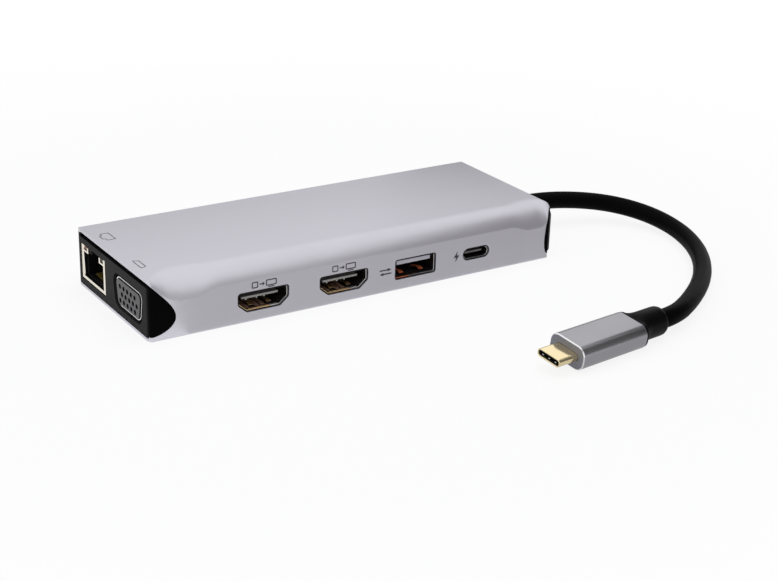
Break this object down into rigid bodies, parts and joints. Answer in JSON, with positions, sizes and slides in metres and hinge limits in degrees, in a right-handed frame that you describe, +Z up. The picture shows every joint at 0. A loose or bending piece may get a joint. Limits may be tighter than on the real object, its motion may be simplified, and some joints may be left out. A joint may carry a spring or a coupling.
{
  "type": "laptop docking station",
  "caption": "Flat aluminium docking station with black end caps, video, data, power, network and monitor sockets, and a short captive cable that ends in an oval plug.",
  "frame": {"origin": "middle of the housing's underside, on the surface it rests on", "axes": "+X along the housing towards the cable's end, +Y away from the port face, +Z up"},
  "size_m": [0.1833, 0.1209, 0.0175],
  "materials": {
    "aluminium_anodised": "satin anodised, light grey",
    "cap_plastic": "fine matte black",
    "socket_tin": "tin-plated sheet steel",
    "socket_plastic": "moulded black",
    "monitor_socket_plastic": "moulded dark grey",
    "contact_gold": "gold-plated",
    "led_amber": "clear tinted lens",
    "led_green": "clear tinted lens",
    "cable_sheath": "satin black",
    "board_laminate": "green lacquer",
    "chip_resin": "moulded black resin",
    "ferrite": "sintered grey",
    "capacitor_can": "bright can"
  },
  "bodies": {
    "hub": {"shell": "aluminium_anodised", "left_cap": "cap_plastic", "right_cap": "cap_plastic", "video_socket_1_shell": "socket_tin", "video_socket_1_insulator": "socket_plastic", "video_socket_2_shell": "socket_tin", "video_socket_2_insulator": "socket_plastic", "data_socket_shell": "socket_tin", "data_socket_insulator": "socket_plastic", "power_socket_shell": "socket_tin", "power_socket_insulator": "socket_plastic", "network_shield": "socket_tin", "network_insert": "socket_plastic", "network_led_left": "led_amber", "network_led_right": "led_green", "monitor_socket_shell": "socket_tin", "monitor_socket_insulator": "monitor_socket_plastic", "cable_gland": "cable_sheath", "cable": "cable_sheath", "plug_strain_relief": "cable_sheath", "plug_housing": "aluminium_anodised", "plug_shell": "contact_gold", "plug_insulator": "socket_plastic", "plug_card": "board_laminate", "wire_bundle": "cable_sheath", "main_board": "board_laminate", "hub_chip": "chip_resin", "video_chip": "chip_resin", "ethernet_chip": "chip_resin", "power_chip": "chip_resin", "ethernet_transformer": "chip_resin", "crystal": "chip_resin", "power_inductor_1": "ferrite", "power_inductor_2": "ferrite", "power_inductor_3": "ferrite", "capacitor_1": "capacitor_can", "capacitor_2": "capacitor_can", "capacitor_3": "capacitor_can", "capacitor_4": "capacitor_can"},
    "contacts": {"network_contacts": "contact_gold"}
  },
  "joints": [
    {"name": "network_contacts_press", "type": "hinge", "parent": "hub", "child": "contacts", "pos_m": [-0.0643, 0.0132, 0.00465], "axis": [0, 1, 0], "range_deg": [0, 5], "stiffness_Nm_per_rad": 0.5}
  ]
}
